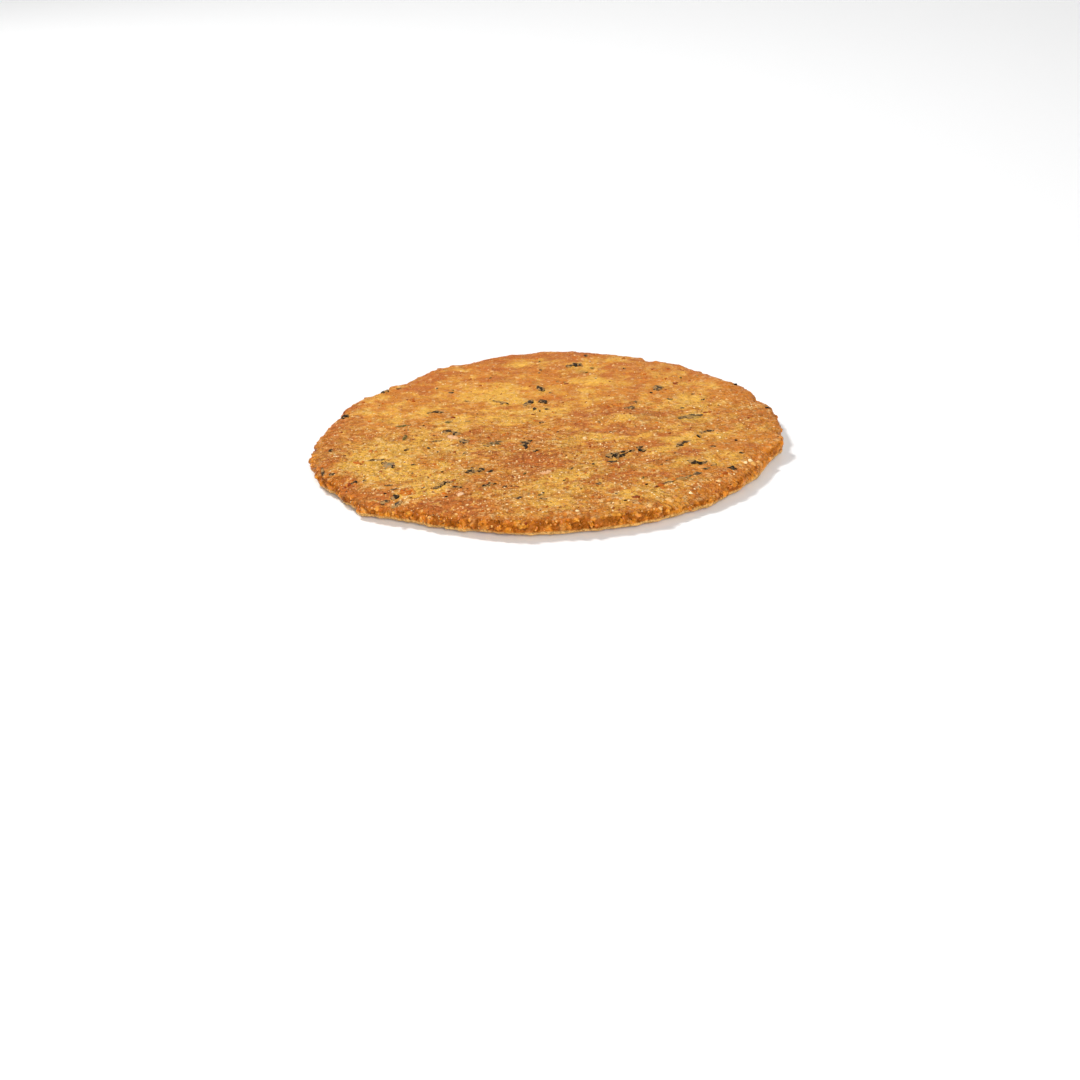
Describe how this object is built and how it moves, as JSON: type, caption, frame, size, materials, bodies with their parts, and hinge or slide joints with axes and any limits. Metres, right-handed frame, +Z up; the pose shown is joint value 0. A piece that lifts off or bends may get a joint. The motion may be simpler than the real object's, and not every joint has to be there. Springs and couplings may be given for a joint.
{
  "type": "fenugreek bhakri",
  "caption": "Crisp round flatbread with a toasted, crumbly rim and dark green fenugreek leaf flecks baked into its surface.",
  "frame": {"origin": "middle of the flat underside, on the surface that the bread lies on", "axes": "+Z up through the bread's thickness, -Y towards the side of the rim that faces the viewer, +X to the viewer's right"},
  "size_m": [0.1132, 0.1144, 0.0056],
  "materials": {
    "baked_crust": "matt, grainy and unevenly toasted golden brown"
  },
  "bodies": {
    "root": {"bhakri": "baked_crust"}
  },
  "joints": []
}
